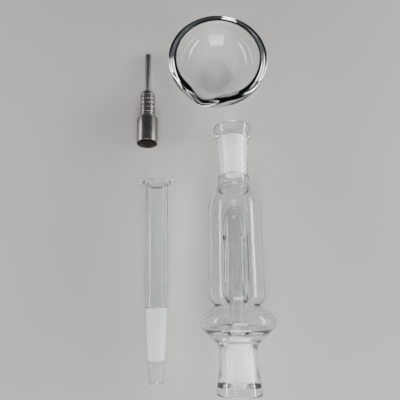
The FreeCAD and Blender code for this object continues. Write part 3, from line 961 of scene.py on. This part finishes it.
@dataclass
class NeckTube(LaidPiece):
    """The neck tube: drip tip, ground cone, straight tube and a rolled lip with two roll stops."""

    near: Circle = Circle(7.85, 49.0)
    far: Circle = Circle(10.1, 136.5)
    heading: float = 1.2
    top: float = 137.7
    bore: float = 6.35
    mouth_radius: float = 7.19
    lip_soft: float = 1.2
    lip_foot: float = 134.9
    barrel_top: float = 134.2
    cone_foot: float = 13.8
    cone_top: float = 48.2
    cone_foot_radius: float = 5.68
    cone_top_radius: float = 7.4
    drip_radius: float = 5.2
    drip_wall: float = 1.3
    drip_soft: float = 0.6
    cone_zone: tuple[float, float] = (14.2, 47.9)
    cone_skin: float = 0.3
    stop_radius: float = 2.1
    stop_out: float = 11.9
    nodes: tuple[str, ...] = ("drip_tip", "ground_cone", "neck_tube", "tube_lip")
    stops: tuple[str, ...] = ("roll_stop_left", "roll_stop_right")

    def corners(self) -> list[Corner]:
        """Runs from the drip end up the outside and down the bore.

        Returns:
            The corners.
        """
        return [
            Corner(self.drip_radius - self.drip_wall, 0.0, self.drip_soft),
            Corner(self.drip_radius, 0.0, self.drip_soft),
            Corner(self.cone_foot_radius, self.cone_foot, 1.0),
            Corner(self.cone_top_radius, self.cone_top, 0.3),
            Corner(self.near.radius, self.near.height, 0.4),
            Corner(self.near.radius, self.barrel_top, 0.8),
            Corner(self.far.radius, self.lip_foot, 1.5),
            Corner(self.far.radius, self.top, self.lip_soft),
            Corner(self.mouth_radius, self.top, 0.7),
            Corner(self.bore, self.far.height, 0.6),
            Corner(self.bore, self.cone_top, 1.0),
            Corner(self.cone_foot_radius - self.drip_wall, self.cone_foot, 1.0),
        ]

    def grind(self, bm: bmesh.types.BMesh) -> None:
        """Gives the outside of the cone the second material.

        Args:
            bm: the tube's skin, in the piece's frame.
        """
        low, high = self.cone_zone
        for face in bm.faces:
            centre = face.calc_center_median()
            cone_radius = self.cone_foot_radius + JOINT_SLOPE * (centre.z - self.cone_foot)
            if centre.xy.length > cone_radius - self.cone_skin and low < centre.z < high:
                face.material_index = 1

    def build(self, effects: Effects) -> bpy.types.Object:
        """Builds and dresses the tube.

        Args:
            effects: the shared groups.

        Returns:
            The glass piece.
        """
        bm = Outline(self.corners()).turned()
        place = settle([bm], self.turn(), self.nodes)
        for side in (-1, 1):
            bead = bmesh.new()
            bmesh.ops.create_icosphere(bead, subdivisions=4, radius=self.stop_radius)
            bmesh.ops.translate(bead, verts=bead.verts, vec=(side * self.stop_out, 0, self.far.height))
            bm = fused(bm, bead)
        self.grind(bm)
        finishes = [ClearGlass("tube_clear_glass").material(effects, place),
                    GroundGlass("tube_ground_cone").material(effects, place)]
        piece = finished("neck_tube_glass", bm, place, finishes)
        hand_over(piece, Body.TUBE, self.nodes + self.stops)
        return piece


@dataclass
class MetalTip(LaidPiece):
    """The stepped metal tip: a tapered base, a grooved coupling and a thin stem, with a channel."""

    near: Circle = Circle(8.1, 20.5)
    far: Circle = Circle(2.35, 80.7)
    heading: float = 1.9
    edge: float = 0.22
    channel: float = 1.0
    base_mouth: float = 7.25
    base_bore: float = 6.375
    bore_depth: float = 17.5
    base_end: float = 7.95
    coupling_foot: float = 23.1
    coupling_radius: float = 5.6
    coupling_top: float = 42.7
    groove_count: int = 5
    groove_first: float = 24.5
    groove_pitch: float = 3.7
    groove_width: float = 1.1
    groove_depth: float = 0.45
    groove_soft: float = 0.12
    stem_foot: float = 47.1
    stem_soft: float = 0.5

    def base(self) -> list[Corner]:
        """Draws the base: a sleeve that narrows towards its open end, closed by a shoulder.

        Returns:
            The corners.
        """
        return [
            Corner(self.base_mouth, 0.0, self.edge),
            Corner(self.base_end, 0.0, self.edge),
            Corner(self.near.radius, self.near.height, self.edge),
            Corner(self.coupling_radius, self.coupling_foot),
            Corner(self.channel, self.coupling_foot),
            Corner(self.channel, self.bore_depth),
            Corner(self.base_bore, self.bore_depth, self.edge),
        ]

    def coupling(self) -> list[Corner]:
        """Draws the coupling: grooves round a straight length, then a long shoulder.

        Returns:
            The corners.
        """
        outer = self.coupling_radius
        inner = outer - self.groove_depth
        soft = self.groove_soft
        corners = [Corner(self.channel, self.coupling_foot), Corner(outer, self.coupling_foot)]
        for index in range(self.groove_count):
            low = self.groove_first + index * self.groove_pitch
            high = low + self.groove_width
            corners += [Corner(outer, low, soft), Corner(inner, low, soft),
                        Corner(inner, high, soft), Corner(outer, high, soft)]
        corners += [Corner(outer, self.coupling_top, self.edge),
                    Corner(self.far.radius, self.stem_foot), Corner(self.channel, self.stem_foot)]
        return corners

    def stem(self) -> list[Corner]:
        """Draws the stem: a thin rod with a rounded end.

        Returns:
            The corners.
        """
        return [
            Corner(self.channel, self.stem_foot),
            Corner(self.far.radius, self.stem_foot),
            Corner(self.far.radius, self.far.height, self.stem_soft),
            Corner(self.channel, self.far.height, self.edge),
        ]

    def build(self, effects: Effects) -> list[bpy.types.Object]:
        """Builds and dresses the three metal pieces.

        Args:
            effects: the shared groups.

        Returns:
            The pieces.
        """
        sections = {"tip_base": self.base(), "tip_coupling": self.coupling(), "tip_stem": self.stem()}
        meshes = {node: Outline(corners).turned() for node, corners in sections.items()}
        place = settle(list(meshes.values()), self.turn(), list(meshes))
        metal = TurnedMetal("turned_titanium").material(effects, place)
        pieces = []
        for node, bm in meshes.items():
            piece = finished(node + "_turned", bm, place, [metal])
            hand_over(piece, Body.METAL_TIP, [node])
            pieces.append(piece)
        return pieces


@dataclass
class Dish:
    """The thick round-bottomed dish with its pouring lip."""

    radius: float = 37.25
    height: float = 27.0
    foot_radius: float = 13.0
    round_height: float = 24.0
    bottom: float = 3.6
    mouth_radius: float = 30.95
    inner_foot_radius: float = 6.5
    wall_rows: int = 18
    outer_soft: float = 1.6
    inner_soft: float = 2.0
    spout_reach: float = 4.8
    spout_spread: float = math.radians(15.0)
    spout_pinch: float = 1.3
    spout_pinch_away: float = 2.2
    spout_growth: float = 1.5
    spout_height: float = 15.0
    spout_heading: float = math.radians(-108.0)
    nodes: tuple[str, ...] = ("dish_bowl", "dish_rim")

    @staticmethod
    def wall(foot_radius: float, foot: float, rim_radius: float, round_height: float,
             rows: int) -> list[Corner]:
        """Gives a quarter of an ellipse, from the foot to where the wall stands upright.

        Args:
            foot_radius: the radius at the foot.
            foot: the height of the foot.
            rim_radius: the radius of the upright wall.
            round_height: the height where the wall becomes upright.
            rows: how many rows the curve has.

        Returns:
            The curve's corners from the foot up.
        """
        depth = (round_height - foot) / math.sqrt(1 - (foot_radius / rim_radius) ** 2)
        lowest = math.asin((round_height - foot) / depth)
        angles = [lowest * (1 - row / rows) for row in range(rows + 1)]
        return [Corner(rim_radius * math.cos(a), round_height - depth * math.sin(a)) for a in angles]

    def corners(self) -> list[Corner]:
        """Runs from the middle of the foot, over the rim, to the middle of the inside.

        Returns:
            The corners.
        """
        outside = self.wall(self.foot_radius, 0.0, self.radius, self.round_height, self.wall_rows)
        inside = self.wall(self.inner_foot_radius, self.bottom, self.mouth_radius, self.height,
                           self.wall_rows)
        rim = [Corner(self.radius, self.height, self.outer_soft),
               Corner(self.mouth_radius, self.height, self.inner_soft)]
        return [Corner(0.0, 0.0)] + outside + rim + inside[-2::-1] + [Corner(0.0, self.bottom)]

    def draw_lip(self, bm: bmesh.types.BMesh) -> None:
        """Draws the pouring lip out of the wall, and pinches the wall in beside it.

        Args:
            bm: the dish's skin, in its own frame.
        """
        for vert in bm.verts:
            climb = (vert.co.z - self.height + self.spout_height) / self.spout_height
            growth = max(0.0, climb) ** self.spout_growth
            angle = math.atan2(vert.co.y, vert.co.x)
            away = abs(math.remainder(angle - self.spout_heading, math.tau)) / self.spout_spread
            lip = self.spout_reach * math.exp(-(away ** 2))
            pinch = self.spout_pinch * math.exp(-((away - self.spout_pinch_away) ** 2))
            outwards = Vector((math.cos(angle), math.sin(angle), 0))
            vert.co += outwards * growth * (lip - pinch)

    def build(self, effects: Effects) -> bpy.types.Object:
        """Builds and dresses the dish.

        Args:
            effects: the shared groups.

        Returns:
            The glass piece.
        """
        bm = Outline(self.corners(), closed=False).turned()
        self.draw_lip(bm)
        place = settle([bm], Matrix.Identity(4), self.nodes)
        finish = ClearGlass("dish_thick_glass", ripple_scale=0.06, ripple_stretch=1.0,
                            ripple_height=0.00012).material(effects, place)
        piece = finished("dish_glass_bowl", bm, place, [finish])
        hand_over(piece, Body.DISH, self.nodes)
        return piece


# ------------------------------------------------------------------ studio
@dataclass(frozen=True)
class Softbox:
    """A soft rectangular lamp."""

    name: str
    place: Place
    aim: Place
    width: float
    height: float
    power: float
    colour: Colour = (1.0, 1.0, 1.0)

    def build(self) -> None:
        """Hangs the lamp and points it."""
        light = bpy.data.lights.new(self.name, "AREA")
        light.shape = "RECTANGLE"
        light.size = self.width
        light.size_y = self.height
        light.energy = self.power
        light.color = self.colour
        lamp = bpy.data.objects.new(self.name, light)
        lamp.location = self.place
        lamp.rotation_euler = (Vector(self.aim) - Vector(self.place)).to_track_quat("-Z", "Y").to_euler()
        bpy.context.scene.collection.objects.link(lamp)


@dataclass
class Studio:
    """The pale floor, the lamps, the dim surround and the camera."""

    floor_size: float = 8.0
    floor_gap: float = 0.00003
    floor_colour: Colour = (0.50, 0.49, 0.475)
    surround: Colour = (0.30, 0.32, 0.35)
    surround_strength: float = 0.4
    camera_place: Place = (-0.00106, -0.07545, 0.2835)
    camera_tilt: float = 13.8
    lens: float = 34.92
    sensor: float = 36.0
    nearest: float = 0.01
    glass_walls: int = 24
    shadow_walls: int = 40
    lamps: tuple[Softbox, ...] = field(default_factory=lambda: (
        Softbox("left_strip", place=(-0.64, 0.04, 0.22), aim=(0.0, 0.04, 0.02),
                width=0.80, height=0.06, power=3.8),
        Softbox("right_strip", place=(0.64, 0.04, 0.18), aim=(0.0, 0.04, 0.02),
                width=0.80, height=0.07, power=6.5),
        Softbox("window_softbox", place=(0.06, -0.62, 0.62), aim=(0.0, 0.0, 0.0),
                width=0.55, height=0.30, power=7.5, colour=(1.0, 0.97, 0.92)),
    ))

    def build_floor(self) -> None:
        """Lays the pale matt floor just under the pieces."""
        bm = bmesh.new()
        bmesh.ops.create_grid(bm, x_segments=1, y_segments=1, size=self.floor_size / 2)
        bmesh.ops.translate(bm, verts=bm.verts, vec=(0, 0, cad_box[0].z - self.floor_gap))
        material = bpy.data.materials.new("pale_floor")
        material.use_nodes = True
        wiring = Wiring(material.node_tree)
        matt = wiring.add("ShaderNodeBsdfPrincipled", {
            "Base Color": (*self.floor_colour, 1.0), "Roughness": 0.75, "Specular IOR Level": 0.25})
        output = wiring.add("ShaderNodeOutputMaterial")
        wiring.join(matt.outputs[0], output.inputs["Surface"])
        floor = finished("floor", bm, Matrix.Identity(4), [material])

    def build_surround(self) -> None:
        """Sets the dim even light of the room."""
        world = bpy.data.worlds.new("surround")
        world.use_nodes = True
        background = world.node_tree.nodes["Background"]
        background.inputs["Color"].default_value = (*self.surround, 1.0)
        background.inputs["Strength"].default_value = self.surround_strength
        bpy.context.scene.world = world

    def build_camera(self) -> None:
        """Stands the camera over the pieces, looking down and a little forwards."""
        camera_data = bpy.data.cameras.new("bench_camera")
        camera_data.lens = self.lens
        camera_data.sensor_width = self.sensor
        camera_data.clip_start = self.nearest
        camera = bpy.data.objects.new("bench_camera", camera_data)
        camera.location = self.camera_place
        camera.rotation_euler = (math.radians(self.camera_tilt), 0.0, 0.0)
        bpy.context.scene.collection.objects.link(camera)
        bpy.context.scene.camera = camera

    def allow_glass_walls(self) -> None:
        """Lets light pass as many walls as nest in the body."""
        cycles = bpy.context.scene.cycles
        cycles.max_bounces = self.glass_walls
        cycles.transmission_bounces = self.glass_walls
        cycles.transparent_max_bounces = self.shadow_walls

    def build(self) -> None:
        """Builds the whole studio."""
        self.build_floor()
        for lamp in self.lamps:
            lamp.build()
        self.build_surround()
        self.build_camera()
        self.allow_glass_walls()
        LOG.info("studio: %d lamps", len(self.lamps))


def main() -> None:
    """Builds every piece of the set, then the studio."""
    logging.basicConfig(level=logging.INFO, format="%(name)s: %(message)s")
    effects = Effects()
    ExtractorBody().build(effects)
    NeckTube().build(effects)
    MetalTip().build(effects)
    Dish().build(effects)
    Studio().build()


if __name__ == "__main__":
    main()
